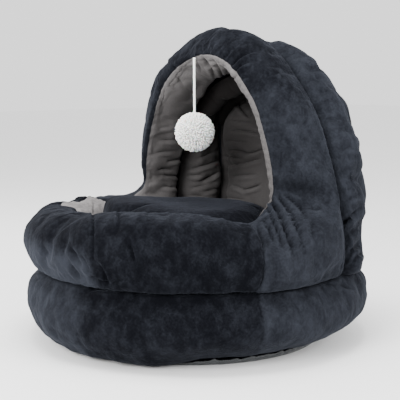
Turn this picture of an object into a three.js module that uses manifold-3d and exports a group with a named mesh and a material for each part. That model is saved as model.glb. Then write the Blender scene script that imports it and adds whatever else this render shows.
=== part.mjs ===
// A round calming bed for a cat or a small dog, with a hood.
// A thick round base pad carries a filled front bolster, two filled arches and a filled back
// wall. Each roll is dark velour outside with a grey lining sewn over its inner face. A loose
// cushion fills the seat, and a yarn pompom hangs by a string from the crown of the opening.
// Millimetres. The middle of the base is the origin, the bed faces -Y, and up is +Z.

import * as THREE from "three";
import * as BufferGeometryUtils from "three/addons/utils/BufferGeometryUtils.js";
import Module from "manifold-3d";

const wasm = await Module();
wasm.setup();

// Driving sizes of the bed
const BED_RADIUS = 250; // fullest outside radius of every roll
const GAP = 0.3; // between pieces that touch
const LINING = 2; // thickness of the grey lining
const FLOOR_SHEET = 2.4; // thickness of the slip-resistant cloth under the bed
const FLOOR_RADIUS = 196; // edge of the flat underside
const PAD_TOP = 105; // top of the base pad, where the upper rolls sit
const RIM_HEIGHT = 200; // crest of the front bolster where it is even
const SEAT_RADIUS = 150; // inner face of the front bolster
const BOLSTER_END = THREE.MathUtils.degToRad(72); // seam between the bolster and the hood
const ARCH_SEAM = 94; // plane where the two arches are sewn together
const WALL_SEAM = 166; // plane where the back wall is sewn in

const VELOUR = { color: 0x2b2f37, roughness: 0.95, metalness: 0 };
const LINING_CLOTH = { color: 0x6d6765, roughness: 0.95, metalness: 0 };
const FLOOR_CLOTH = { color: 0x4c5154, roughness: 0.55, metalness: 0 };
const YARN = { color: 0xf2f0eb, roughness: 0.95, metalness: 0 };

const bed = new THREE.Group();

function addPiece(name, geometry, finish) {
  const mesh = new THREE.Mesh(geometry, new THREE.MeshStandardMaterial(finish));
  mesh.name = name;
  bed.add(mesh);
  return mesh;
}

// A closed surface over rows of points, each row a loop. Its two ends are closed by triangles
// about the middle of the row or, on a thin shell, straight across from one face to the other.
function gridGeometry(rows, thinShell = false) {
  const count = rows[0].length;
  const points = rows.flat();
  const index = [];
  for (let row = 0; row < rows.length - 1; row++) {
    for (let column = 0; column < count; column++) {
      const right = (column + 1) % count;
      const [a, b] = [row * count + column, row * count + right];
      const [c, d] = [b + count, a + count];
      index.push(a, b, c, a, c, d);
    }
  }
  for (const row of [0, rows.length - 1]) {
    const facing = row === 0 ? (a, b, c) => [a, c, b] : (a, b, c) => [a, b, c];
    const first = row * count;
    if (thinShell) {
      for (let j = 0; j < count / 2 - 1; j++) {
        const [a, b] = [first + j, first + j + 1];
        const [c, d] = [first + count - 2 - j, first + count - 1 - j];
        index.push(...facing(a, b, c), ...facing(a, c, d));
      }
      continue;
    }
    const middle = new THREE.Vector3();
    rows[row].forEach((point) => middle.addScaledVector(point, 1 / count));
    points.push(middle);
    for (let j = 0; j < count; j++) {
      index.push(...facing(points.length - 1, first + j, first + ((j + 1) % count)));
    }
  }
  const geometry = new THREE.BufferGeometry().setFromPoints(points);
  geometry.setIndex(index);
  return outward(geometry);
}

// Turns a closed surface the right way out, by the sign of the volume that it holds
function outward(geometry) {
  const place = geometry.getAttribute("position");
  const index = Array.from(geometry.getIndex().array);
  const [a, b, c] = [new THREE.Vector3(), new THREE.Vector3(), new THREE.Vector3()];
  let volume = 0;
  for (let i = 0; i < index.length; i += 3) {
    a.fromBufferAttribute(place, index[i]);
    b.fromBufferAttribute(place, index[i + 1]);
    c.fromBufferAttribute(place, index[i + 2]);
    volume += a.dot(b.cross(c));
  }
  geometry.setIndex(volume < 0 ? index.reverse() : index);
  geometry.computeVertexNormals();
  return geometry;
}

function toManifold(geometry) {
  const bare = geometry.clone();
  bare.deleteAttribute("normal");
  bare.deleteAttribute("uv");
  const merged = BufferGeometryUtils.mergeVertices(bare, 1e-4);
  const vertProperties = new Float32Array(merged.getAttribute("position").array);
  const triVerts = new Uint32Array(merged.getIndex().array);
  return new wasm.Manifold(new wasm.Mesh({ numProp: 3, vertProperties, triVerts }));
}

function fromManifold(solid) {
  const mesh = solid.getMesh();
  const geometry = new THREE.BufferGeometry();
  geometry.setAttribute("position", new THREE.BufferAttribute(mesh.vertProperties, 3));
  geometry.setIndex(new THREE.BufferAttribute(mesh.triVerts, 1));
  geometry.computeVertexNormals();
  return geometry;
}

// A closed smooth curve through the corners of a section, and points along a stretch of it,
// two from each corner to the next, so that a cloth over part of a roll lies parallel to it.
function sectionCurve(corners) {
  const points = corners.map(([across, along]) => new THREE.Vector3(across, along, 0));
  return new THREE.CatmullRomCurve3(points, true, "centripetal");
}

const PER_CORNER = 2;

function stretchOf(curve, from, to) {
  const total = curve.points.length * PER_CORNER;
  const points = [];
  for (let step = from * PER_CORNER; step <= to * PER_CORNER; step++) {
    points.push(curve.getPoint((step % total) / total));
  }
  return points;
}

const wholeSection = (curve) => stretchOf(curve, 0, curve.points.length).slice(0, -1);

// A solid of revolution about the bed's upright axis, from a profile of radius and height
function turned(profile, steps) {
  const outline = profile.map(([radius, height]) => new THREE.Vector2(radius, height));
  const lathe = new THREE.LatheGeometry(outline, steps).rotateX(Math.PI / 2);
  lathe.deleteAttribute("normal");
  lathe.deleteAttribute("uv");
  return fromManifold(toManifold(lathe));
}

const mix = THREE.MathUtils.lerp;
const smooth = THREE.MathUtils.smoothstep;

// Base pad: one thick round cushion with a full side

const PAD_PROFILE = [
  [0, FLOOR_SHEET + GAP],
  [FLOOR_RADIUS, FLOOR_SHEET + GAP],
  [225, 15],
  [243, 36],
  [248.5, 60],
  [244, 82],
  [231, 99],
  [216, PAD_TOP - GAP],
  [0, PAD_TOP - GAP],
];
const FULLER_SIDE = { towards: THREE.MathUtils.degToRad(51), by: 6 }; // at the back, on the right

// The filling is uneven, so the pad's side stands out further on its fuller side
function padFilled(geometry) {
  const place = geometry.getAttribute("position");
  for (let i = 0; i < place.count; i++) {
    const [x, y] = [place.getX(i), place.getY(i)];
    const radius = Math.hypot(x, y);
    const facing = Math.max(0, Math.cos(Math.atan2(y, x) - FULLER_SIDE.towards));
    const scale = 1 + (FULLER_SIDE.by * facing * smooth(radius, 190, 240)) / Math.max(radius, 1);
    place.setXY(i, x * scale, y * scale);
  }
  return geometry;
}
addPiece("base_pad", padFilled(turned(PAD_PROFILE, 60)), VELOUR);

// Floor cloth: a dish of slip-resistant cloth whose edge turns up round the pad's underside

const FLOOR_CLOTH_PROFILE = [
  [0, 0],
  [FLOOR_RADIUS, 0],
  [226, 11.6],
  [225, 14.2],
  [FLOOR_RADIUS, FLOOR_SHEET],
  [0, FLOOR_SHEET],
];
addPiece("floor_cloth", padFilled(turned(FLOOR_CLOTH_PROFILE, 60)), FLOOR_CLOTH);

// Front bolster: a roll round the front, its section as distance from the middle and height

const BOLSTER_SECTION = [
  [SEAT_RADIUS + 12, PAD_TOP],
  [200, PAD_TOP],
  [232, PAD_TOP + 3],
  [247, 128],
  [BED_RADIUS, 155],
  [242, 182],
  [222, 197],
  [196, RIM_HEIGHT],
  [172, 195],
  [155, 176],
  [SEAT_RADIUS, 148],
  [SEAT_RADIUS + 2, 120],
];

// Height of the bolster's crest round the front, by place in degrees; the filling is uneven
const RIM = new THREE.SplineCurve(
  [
    [-80, 197],
    [-45, 197],
    [0, 200],
    [36, 208],
    [58, 203],
    [80, 184],
  ].map(([at, height]) => new THREE.Vector2(at, height)),
);

function rimHeight(at) {
  const points = RIM.points;
  const last = points.length - 1;
  const next = Math.min(last, Math.max(1, points.findIndex((point) => point.x >= at)));
  const share = (at - points[next - 1].x) / (points[next].x - points[next - 1].x);
  return RIM.getPoint((next - 1 + share) / last).y;
}

// Soft creases across the bolster: place round the front, depth, width and slant, in degrees
const BOLSTER_CREASES = [
  { at: -62, depth: 3, width: 4, slant: 0 },
  { at: -30, depth: 4, width: 4, slant: -10 },
  { at: -4, depth: 6, width: 4, slant: 5 },
  { at: 14, depth: 4, width: 4, slant: -9 },
  { at: 34, depth: 3, width: 5, slant: 5 },
  { at: 52, depth: 3, width: 5, slant: -5 },
];

function creaseDepth(creases, at, lift) {
  return creases.reduce((sum, crease) => {
    const off = (at - crease.at - crease.slant * lift) / crease.width;
    return sum + crease.depth * Math.exp(-off * off);
  }, 0);
}

function bolsterPoint(angle, across, height) {
  const at = THREE.MathUtils.radToDeg(angle);
  const lift = (height - PAD_TOP) / (RIM_HEIGHT - PAD_TOP);
  const depth = creaseDepth(BOLSTER_CREASES, at, lift);
  const outside = smooth(across, 190, 240) * smooth(lift, 0, 0.3);
  const reach = across - depth * outside;
  const crest = (rimHeight(at) - RIM_HEIGHT) * smooth(lift, 0, 1);
  const raised = height + crest - 0.5 * depth * smooth(lift, 0.8, 1);
  return new THREE.Vector3(reach * Math.sin(angle), -reach * Math.cos(angle), Math.max(raised, PAD_TOP));
}

const BOLSTER_STEPS = 36;
const bolsterCurve = sectionCurve(BOLSTER_SECTION);
const bolsterAngles = [];
for (let step = 0; step <= BOLSTER_STEPS; step++) {
  bolsterAngles.push(mix(-BOLSTER_END, BOLSTER_END, step / BOLSTER_STEPS));
}
const bolsterLoop = wholeSection(bolsterCurve);
const bolsterRows = bolsterAngles.map((angle) => bolsterLoop.map((p) => bolsterPoint(angle, p.x, p.y)));
addPiece("front_bolster", gridGeometry(bolsterRows), VELOUR);

// Arches: a section of out and back distances, carried along the line of the opening.
// The sections stand at four heights of that line, and the roll changes evenly between them.

const OPENING = { halfWidth: 158, springing: 160, top: 413, power: 2.15 };
const INNER_ARCH = { halfWidth: 145, springing: 150, top: 372, power: 2.15 };
const STATIONS = { foot: 164, hip: 190, haunch: 212, crown: 370 };

// A point on an arch's line and its outward direction; share runs from 0, right foot, to 1
function archLine(line, share) {
  const leg = line.springing - PAD_TOP;
  const rise = line.top - line.springing;
  const bend = 0.25 * Math.PI * (line.halfWidth + rise);
  const along = 2 * (leg + bend) * Math.min(share, 1 - share);
  const side = share <= 0.5 ? 1 : -1;
  const point = new THREE.Vector3(line.halfWidth, 0, PAD_TOP + along);
  const normal = new THREE.Vector3(1, 0, 0);
  if (along > leg) {
    const turn = (0.5 * Math.PI * (along - leg)) / bend;
    const [c, s] = [Math.max(Math.cos(turn), 0), Math.sin(turn)];
    const e = 2 / line.power;
    point.x = line.halfWidth * c ** e;
    point.z = line.springing + rise * s ** e;
    normal.set(c ** (2 - e) / line.halfWidth, 0, s ** (2 - e) / rise).normalize();
  }
  point.x *= side;
  normal.x *= side;
  return { point, normal };
}

function sectionAt(table, height) {
  const names = Object.keys(STATIONS);
  const heights = Object.values(STATIONS);
  const upper = Math.max(1, heights.findIndex((h) => h >= height));
  const above = height >= heights.at(-1) ? heights.length - 1 : upper;
  const share = THREE.MathUtils.clamp(
    (height - heights[above - 1]) / (heights[above] - heights[above - 1]),
    0,
    1,
  );
  return table.map((row) => [0, 1].map((i) => mix(row[names[above - 1]][i], row[names[above]][i], share)));
}

const FRONT_ARCH_SECTION = [
  { name: "opening edge", foot: [-12, -60], hip: [-2, -14], haunch: [0, 14], crown: [0, 12] },
  { name: "brow", foot: [40, -75], hip: [32, -46], haunch: [18, 34], crown: [15, 20] },
  { name: "front", foot: [80, -72], hip: [62, -6], haunch: [42, 50], crown: [28, 33] },
  { name: "crest", foot: [92, -4], hip: [79, 34], haunch: [63, 64], crown: [37, 50] },
  { name: "shoulder", foot: [80, 58], hip: [72, 68], haunch: [64, 76], crown: [37, 70] },
  { name: "outer crease", foot: [58, 94], hip: [52, 94], haunch: [46, 94], crown: [25, 94] },
  { name: "inner crease", foot: [-8, 94], hip: [-8, 94], haunch: [-8, 94], crown: [-28, 94] },
  { name: "lining fullness", foot: [-14, 54], hip: [-18, 60], haunch: [-18, 60], crown: [-28, 62] },
  { name: "lining lip", foot: [-12, 0], hip: [-9, 18], haunch: [-8, 27], crown: [-13, 26] },
];
const BACK_ARCH_SECTION = [
  { name: "front outer crease", foot: [68, 94], hip: [64, 94], haunch: [60, 94], crown: [42, 94] },
  { name: "front shoulder", foot: [82, 106], hip: [80, 106], haunch: [74, 106], crown: [58, 106] },
  { name: "crest", foot: [76, 130], hip: [76, 130], haunch: [72, 128], crown: [61, 128] },
  { name: "rear shoulder", foot: [58, 152], hip: [58, 152], haunch: [56, 152], crown: [52, 152] },
  { name: "rear outer crease", foot: [38, 166], hip: [37, 166], haunch: [36, 166], crown: [32, 166] },
  { name: "rear inner crease", foot: [-12, 166], hip: [-12, 166], haunch: [-13, 166], crown: [-14, 166] },
  { name: "lining fullness", foot: [-15, 128], hip: [-15, 128], haunch: [-15, 128], crown: [-16, 128] },
  { name: "front inner crease", foot: [4, 94], hip: [4, 94], haunch: [3, 94], crown: [2, 94] },
];

// Distance that a roll's foot is drawn in, where it is sewn down to the pad
function footTuck(height) {
  const low = THREE.MathUtils.clamp(1 - (height - PAD_TOP) / 36, 0, 1);
  return 15 * (1 - Math.sqrt(1 - low * low));
}

// Keeps a point of an arch between its seams, behind the bolster's end and above the pad
function withinSeams(point, seams) {
  const bolsterEnd = GAP - Math.abs(point.x) / Math.tan(BOLSTER_END);
  point.y = Math.max(THREE.MathUtils.clamp(point.y, seams[0], seams[1]), bolsterEnd);
  point.z = Math.max(point.z, PAD_TOP);
  return point;
}

function archPoint(line, share, out, back, seams) {
  const { point, normal } = archLine(line, share);
  const reach = out - footTuck(point.z) * smooth(out, 20, 60);
  return withinSeams(point.addScaledVector(normal, reach).setY(back), seams);
}

// Rows of an arch's surface; pick gives the points of the section that a row takes
function archRows(table, line, seams, steps, pick) {
  const rows = [];
  for (let step = 0; step <= steps; step++) {
    const share = step / steps;
    const height = archLine(line, share).point.z;
    const points = pick(sectionCurve(sectionAt(table, height)), height);
    rows.push(points.map((p) => archPoint(line, share, p.x, p.y, seams)));
  }
  return rows;
}

const FRONT_ARCH_SEAMS = [-BED_RADIUS, ARCH_SEAM - GAP / 2];
const BACK_ARCH_SEAMS = [ARCH_SEAM + GAP / 2, WALL_SEAM - GAP / 2];
const FRONT_ARCH_STEPS = 60;
const BACK_ARCH_STEPS = 40;
addPiece(
  "front_arch",
  gridGeometry(archRows(FRONT_ARCH_SECTION, OPENING, FRONT_ARCH_SEAMS, FRONT_ARCH_STEPS, wholeSection)),
  VELOUR,
);
addPiece(
  "back_arch",
  gridGeometry(archRows(BACK_ARCH_SECTION, INNER_ARCH, BACK_ARCH_SEAMS, BACK_ARCH_STEPS, wholeSection)),
  VELOUR,
);

// Back wall: a pillow that closes the hood, flat where it is sewn to the back arch. Each row is
// one level of it: along the sewn edge, round the full back, and over the bulge inside.

const WALL = { edge: 38, bulge: 20, inset: 24, depth: 82, domePower: 1.85, swellTop: 334 };
const WALL_STEPS = 14;
const WALL_HALF = 8;
const LEAST_OPENING = 0.35;

function halfWidthAt(line, height, out) {
  const rise = line.top + out - line.springing;
  const up = Math.max(0, (height - line.springing) / rise);
  return (line.halfWidth + out) * Math.max(0, 1 - up ** line.power) ** (1 / line.power);
}

// The part of a level that shows inside the hood, and the whole level
const innerHalfAt = (height) => halfWidthAt(INNER_ARCH, height, -WALL.inset);
const outerHalfAt = (height) => halfWidthAt(INNER_ARCH, height, WALL.edge) - footTuck(height);

function wallBack(x, height) {
  const half = outerHalfAt(height);
  const full = Math.max(0, 1 - Math.abs(x / half) ** WALL.domePower) ** (1 / WALL.domePower);
  const top = INNER_ARCH.top + WALL.edge;
  const up = Math.max(0, (height - INNER_ARCH.springing) / (top - INNER_ARCH.springing));
  const depth = WALL.depth * Math.sqrt(Math.max(0, 1 - up ** 2.4));
  return WALL_SEAM + GAP / 2 + (depth - footTuck(height)) * full;
}

// How far the wall's inner face stands forward of the seam; rows stop short of the arch
function wallFront(x, height) {
  const half = innerHalfAt(height);
  const across = half > 0 ? Math.abs(x) / half : 1;
  const up = (height - PAD_TOP) / (WALL.swellTop - PAD_TOP);
  const swell = Math.max(0, 1 - across ** 3) * Math.max(0, 1 - up ** 4);
  return WALL_SEAM + GAP / 2 - WALL.bulge * swell ** 0.6;
}

// Whether the hood is open in front of the wall at that level
const hasWallOpening = (height) => innerHalfAt(height) > LEAST_OPENING * outerHalfAt(height);

function wallInnerRow(height) {
  const half = Math.max(innerHalfAt(height), LEAST_OPENING * outerHalfAt(height));
  const row = [];
  for (let i = -WALL_HALF; i <= WALL_HALF; i++) {
    const x = (half * i) / WALL_HALF;
    row.push(new THREE.Vector3(x, wallFront(x, height), height));
  }
  return row;
}

function wallRow(height) {
  const half = outerHalfAt(height);
  const row = [new THREE.Vector3(-half, WALL_SEAM + GAP / 2, height), ...wallInnerRow(height)];
  for (let i = WALL_HALF; i > -WALL_HALF; i--) {
    const x = half * Math.sin((0.5 * Math.PI * i) / WALL_HALF);
    row.push(new THREE.Vector3(x, wallBack(x, height), height));
  }
  return row;
}

const wallHeights = [];
for (let step = 0; step <= WALL_STEPS; step++) {
  const top = INNER_ARCH.top + WALL.edge - 1;
  wallHeights.push(mix(PAD_TOP, top, Math.sin((0.5 * Math.PI * step) / WALL_STEPS)));
}
addPiece("back_wall", gridGeometry(wallHeights.map(wallRow)), VELOUR);

// Linings: grey cloth sewn over the inner faces. Each is a thin shell a hair off its roll.

// A shell over rows of surface points, lifted off to the side that the rows face
function shell(rows, side, keep = (point) => point) {
  const lifted = (offset) =>
    rows.map((row, i) =>
      row.map((point, j) => {
        const ahead = rows[Math.min(i + 1, rows.length - 1)][j];
        const along = ahead.clone().sub(rows[Math.max(i - 1, 0)][j]);
        const across = row[Math.min(j + 1, row.length - 1)].clone().sub(row[Math.max(j - 1, 0)]);
        return keep(point.clone().addScaledVector(along.cross(across).normalize(), side * offset));
      }),
    );
  const far = lifted(GAP + LINING);
  const loops = lifted(GAP).map((row, i) => [...row, ...far[i].reverse()]);
  return gridGeometry(loops, true);
}

// Which corners of each section the lining runs between
const BOLSTER_INSIDE = [7.5, 11];
const FRONT_ARCH_INSIDE = [6, 9];
const BACK_ARCH_INSIDE = [5, 7];

const bolsterInside = stretchOf(bolsterCurve, ...BOLSTER_INSIDE);
const bolsterFace = bolsterAngles.map((angle) => bolsterInside.map((p) => bolsterPoint(angle, p.x, p.y)));
addPiece("bolster_lining", shell(bolsterFace, 1), LINING_CLOTH);

function archLining(table, line, seams, steps, inside) {
  const rows = archRows(table, line, seams, steps, (curve) => stretchOf(curve, ...inside));
  return shell(rows, -1, (point) => withinSeams(point, seams));
}
addPiece(
  "front_arch_lining",
  archLining(FRONT_ARCH_SECTION, OPENING, FRONT_ARCH_SEAMS, FRONT_ARCH_STEPS, FRONT_ARCH_INSIDE),
  LINING_CLOTH,
);
addPiece(
  "back_arch_lining",
  archLining(BACK_ARCH_SECTION, INNER_ARCH, BACK_ARCH_SEAMS, BACK_ARCH_STEPS, BACK_ARCH_INSIDE),
  LINING_CLOTH,
);

const wallFace = wallHeights.filter(hasWallOpening).map((height) => wallInnerRow(height));
addPiece("wall_lining", shell(wallFace, -1), LINING_CLOTH);

// Seat cushion: loose and round, flat below, with a drawn-in side and a low crown

const CUSHION = { radius: 140, middle: -5, steps: 44 };
const CUSHION_PROFILE = [
  [0, PAD_TOP],
  [116, PAD_TOP],
  [131, 116],
  [CUSHION.radius, 142],
  [136, 166],
  [122, 181],
  [88, 188],
  [44, 190],
  [0, 190],
];
addPiece("seat_cushion", turned(CUSHION_PROFILE, CUSHION.steps).translate(0, CUSHION.middle, 0), VELOUR);

// Toy: a yarn pompom on a string, hung from the crown of the opening

const POMPOM = { radius: 29.5, core: 23, locks: 84, lockWidth: 6 };
const STRING = { thickness: 4, length: 86, steps: 8 };
const stringTop = new THREE.Vector3(-9, 9.4, 408.6);
const pompomCentre = stringTop.clone().setZ(stringTop.z - STRING.length - POMPOM.core - GAP);

const cordPath = new THREE.LineCurve3(stringTop, stringTop.clone().setZ(stringTop.z - STRING.length));
const cordSection = new THREE.Shape().absarc(0, 0, STRING.thickness / 2, 0, 2 * Math.PI);
addPiece(
  "toy_cord",
  new THREE.ExtrudeGeometry(cordSection, {
    steps: STRING.steps,
    curveSegments: 4,
    extrudePath: cordPath,
    bevelEnabled: false,
  }),
  YARN,
);

// One cut lock of yarn: a square post from inside the core to the ball's surface
function lock(direction, reach) {
  const root = POMPOM.core - 6;
  const post = new THREE.CylinderGeometry(0.5 * POMPOM.lockWidth, 0.4 * POMPOM.lockWidth, reach - root, 4);
  post.translate(0, 0.5 * (root + reach), 0);
  post.applyQuaternion(new THREE.Quaternion().setFromUnitVectors(new THREE.Vector3(0, 1, 0), direction));
  return toManifold(post);
}

const LOCK_UNEVEN = 1.2;
const GOLDEN_ANGLE = Math.PI * (3 - Math.sqrt(5));
let pompom = toManifold(new THREE.SphereGeometry(POMPOM.core, 14, 9));
for (let i = 0; i < POMPOM.locks; i++) {
  const height = 1 - (2 * (i + 0.5)) / POMPOM.locks;
  const across = Math.sqrt(1 - height * height);
  const turn = i * GOLDEN_ANGLE;
  const direction = new THREE.Vector3(across * Math.cos(turn), across * Math.sin(turn), height);
  const clearOfString = height > 0.97;
  const reach = POMPOM.radius - LOCK_UNEVEN + LOCK_UNEVEN * Math.sin(5 * i);
  if (!clearOfString) pompom = pompom.add(lock(direction, reach));
}
addPiece("pompom", fromManifold(pompom).translate(...pompomCentre.toArray()), YARN);

export default bed;
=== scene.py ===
# A round calming bed for a cat or a small dog. Soft rolls of dark velour stand on a thick round
# pad: one round the front, and two arches and a back wall that make a hood, all lined in grey.
# A loose cushion fills the seat, and a yarn pompom hangs by a string in the opening.
# Places in the tables are in millimetres, in the bed's own frame, unless they say otherwise.

import math
from collections import namedtuple

import bmesh
import bpy
import numpy as np
from mathutils import Matrix, Vector, kdtree, noise
from mathutils.bvhtree import BVHTree


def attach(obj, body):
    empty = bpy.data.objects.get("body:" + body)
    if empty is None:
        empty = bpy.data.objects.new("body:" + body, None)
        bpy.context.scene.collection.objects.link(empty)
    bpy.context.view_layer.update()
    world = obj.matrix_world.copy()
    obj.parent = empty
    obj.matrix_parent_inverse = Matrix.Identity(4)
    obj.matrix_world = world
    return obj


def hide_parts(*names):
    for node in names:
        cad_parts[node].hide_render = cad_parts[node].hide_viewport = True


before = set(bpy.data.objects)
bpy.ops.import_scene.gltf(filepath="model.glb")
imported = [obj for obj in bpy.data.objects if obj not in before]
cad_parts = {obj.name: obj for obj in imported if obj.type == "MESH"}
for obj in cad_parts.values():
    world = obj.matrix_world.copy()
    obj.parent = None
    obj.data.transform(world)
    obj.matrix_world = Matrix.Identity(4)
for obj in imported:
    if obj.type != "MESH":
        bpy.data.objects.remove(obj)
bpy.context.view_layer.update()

# Camera
# It stands a metre and a half from the bed, in front and to the right, and looks slightly down.
# The picture is 400 pixels wide, and the focal length is in pixels too.
MM = 0.001
PICTURE = 400
FOCAL = 1008.5
SENSOR = 36
AZIMUTH = math.radians(51.2)
ELEVATION = math.radians(7.0)
ROLL = math.radians(-0.3)
DISTANCE = 1500
AIM_ASIDE = 9.1
AIM_HEIGHT = 199.0

AIM = Vector((AIM_ASIDE * math.cos(AZIMUTH), AIM_ASIDE * math.sin(AZIMUTH), AIM_HEIGHT))
back = Vector((
    math.sin(AZIMUTH) * math.cos(ELEVATION),
    -math.cos(AZIMUTH) * math.cos(ELEVATION),
    math.sin(ELEVATION),
))
level = Vector((math.cos(AZIMUTH), math.sin(AZIMUTH), 0))
right = Matrix.Rotation(ROLL, 3, back) @ level
up = back.cross(right)
eye = AIM + back * DISTANCE

camera_data = bpy.data.cameras.new("camera")
camera_data.sensor_width = SENSOR
camera_data.lens = FOCAL / PICTURE * SENSOR
camera = bpy.data.objects.new("camera", camera_data)
camera.matrix_world = Matrix.Translation(eye * MM) @ Matrix((right, up, back)).transposed().to_4x4()
bpy.context.scene.collection.objects.link(camera)
bpy.context.scene.camera = camera

# Studio
# A pale floor, a pale room and large soft lamps: above, beside the camera, and to the left and
# right of the bed. None of it is part of the object.
FLOOR_REACH = 9.0
FLOOR_COLOUR = (0.93, 0.93, 0.93, 1)
ROOM_STRENGTH = 1.6
LAMP_AIM = (0, 0, 200)
Lamp = namedtuple("Lamp", "name place size power")
LAMPS = [
    Lamp("lamp_above", (200, -300, 1900), 1.0, 42),
    Lamp("lamp_front", (700, -1650, 900), 0.8, 40),
    Lamp("lamp_left", (-1500, -900, 700), 0.9, 27),
    Lamp("lamp_right", (1700, 500, 900), 0.9, 30),
]


def new_material(name, values):
    """A material whose shader has these values in its sockets."""
    material = bpy.data.materials.new(name)
    material.use_nodes = True
    for socket, value in values.items():
        material.node_tree.nodes["Principled BSDF"].inputs[socket].default_value = value
    return material


bpy.ops.mesh.primitive_plane_add(size=2 * FLOOR_REACH, location=(0, 0, 0))
floor = bpy.context.object
floor.name = "studio_floor"
floor.data.materials.append(
    new_material("studio_floor", {"Base Color": FLOOR_COLOUR, "Roughness": 0.9})
)

room = bpy.data.worlds.new("room")
room.use_nodes = True
room.node_tree.nodes["Background"].inputs["Color"].default_value = (1, 1, 1, 1)
room.node_tree.nodes["Background"].inputs["Strength"].default_value = ROOM_STRENGTH
bpy.context.scene.world = room

for lamp in LAMPS:
    light = bpy.data.lights.new(lamp.name, "AREA")
    light.size = lamp.size
    light.energy = lamp.power
    holder = bpy.data.objects.new(lamp.name, light)
    holder.location = Vector(lamp.place) * MM
    toward = Vector(LAMP_AIM) - Vector(lamp.place)
    holder.rotation_euler = toward.to_track_quat("-Z", "Y").to_euler()
    bpy.context.scene.collection.objects.link(holder)

# Toy string
# White cotton cord, three plies laid round each other. Its top is caught in the seam at the crown
# of the opening, and it hangs straight down to the pompom.
STRING_TOP = Vector((-9, 9.4, 408.6))
STRING_LENGTH = 86
PLIES = 3
PLY_RADIUS = 1.05
PLY_REACH = 0.85
PLY_LAY = 9.0
PLY_SIDES = 8
PLY_STEPS = 96
YARN_WHITE = (0.97, 0.96, 0.93)
YARN_SHADE = 0.92
YARN_FIBRES = 1400


def placed(name, mesh):
    piece = bpy.data.objects.new(name, mesh)
    bpy.context.scene.collection.objects.link(piece)
    return piece


def new_piece(name, vertices, faces):
    mesh = bpy.data.meshes.new(name)
    mesh.from_pydata([tuple(v) for v in vertices], [], faces)
    mesh.validate()
    return placed(name, mesh)


def smooth_shaded(piece):
    piece.data.polygons.foreach_set("use_smooth", [True] * len(piece.data.polygons))
    piece.data.update()


def ring_faces(rings, sides):
    """The faces of a form whose points lie in rings, with a face over each end."""
    faces = []
    for i in range(rings - 1):
        for j in range(sides):
            k = (j + 1) % sides
            faces.append((i * sides + j, i * sides + k, (i + 1) * sides + k, (i + 1) * sides + j))
    faces.append(tuple(reversed(range(sides))))
    faces.append(tuple(range((rings - 1) * sides, rings * sides)))
    return faces


def tube(path, radius, sides):
    """The points of a tube round a path, ring by ring."""
    vertices = []
    for i, point in enumerate(path):
        ahead = path[min(i + 1, len(path) - 1)] - path[max(i - 1, 0)]
        turn = ahead.to_track_quat("Z", "X")
        for j in range(sides):
            angle = 2 * math.pi * j / sides
            off = Vector((radius * math.cos(angle), radius * math.sin(angle), 0))
            vertices.append(point + turn @ off)
    return vertices


def string_piece():
    vertices, faces = [], []
    for ply in range(PLIES):
        path = []
        for step in range(PLY_STEPS + 1):
            down = STRING_LENGTH * step / PLY_STEPS
            angle = 2 * math.pi * (down / PLY_LAY + ply / PLIES)
            round_it = Vector((math.cos(angle), math.sin(angle), 0)) * PLY_REACH
            path.append((STRING_TOP + round_it - Vector((0, 0, down))) * MM)
        faces += [tuple(len(vertices) + v for v in face) for face in ring_faces(len(path), PLY_SIDES)]
        vertices += tube(path, PLY_RADIUS * MM, PLY_SIDES)
    return new_piece("toy_string", vertices, faces)


def connect(tree, node, values={}, links={}):
    """Puts these values and links into a node's sockets."""
    for socket, value in values.items():
        node.inputs[socket].default_value = value
    for socket, source in links.items():
        tree.links.new(source, node.inputs[socket])
    return node


def add_node(tree, kind, values={}, links={}):
    return connect(tree, tree.nodes.new(kind), values, links)


def clouds(tree, scale, detail, distortion=0.0, stretch=(1, 1, 1)):
    """Noise that lies still on the piece."""
    place = add_node(tree, "ShaderNodeTexCoord").outputs["Object"]
    mapping = add_node(tree, "ShaderNodeMapping", {"Scale": stretch}, {"Vector": place})
    values = {"Scale": scale, "Detail": detail, "Distortion": distortion}
    pattern = add_node(tree, "ShaderNodeTexNoise", values, {"Vector": mapping.outputs["Vector"]})
    return pattern.outputs["Fac"]


def give_colour(material, share, dark, lit):
    """Lets a material's colour run from dark to lit with a share."""
    tree = material.node_tree
    tone = tree.nodes.new("ShaderNodeMix")
    tone.data_type = "RGBA"
    connect(tree, tone, {"A": (*dark, 1), "B": (*lit, 1)}, {"Factor": share})
    connect(tree, tree.nodes["Principled BSDF"], links={"Base Color": tone.outputs["Result"]})


def give_relief(material, height, strength, depth):
    """Raises a material's surface by a height, up to a depth in millimetres."""
    tree = material.node_tree
    values = {"Strength": strength, "Distance": depth * MM}
    bump = add_node(tree, "ShaderNodeBump", values, {"Height": height})
    connect(tree, tree.nodes["Principled BSDF"], links={"Normal": bump.outputs["Normal"]})


def yarn_material(name):
    """Matt yarn with a fine fibrous surface."""
    material = new_material(name, {
        "Base Color": (*YARN_WHITE, 1),
        "Roughness": 0.95,
        "Sheen Weight": 0.3,
        "Subsurface Weight": 0.15,
        "Subsurface Scale": 0.004,
    })
    fibre = clouds(material.node_tree, YARN_FIBRES, 3)
    give_colour(material, fibre, [YARN_SHADE * part for part in YARN_WHITE], YARN_WHITE)
    give_relief(material, fibre, 0.5, 0.4)
    return material


yarn = yarn_material("white_yarn")
toy_string = string_piece()
smooth_shaded(toy_string)
toy_string.data.materials.append(yarn)

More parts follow.
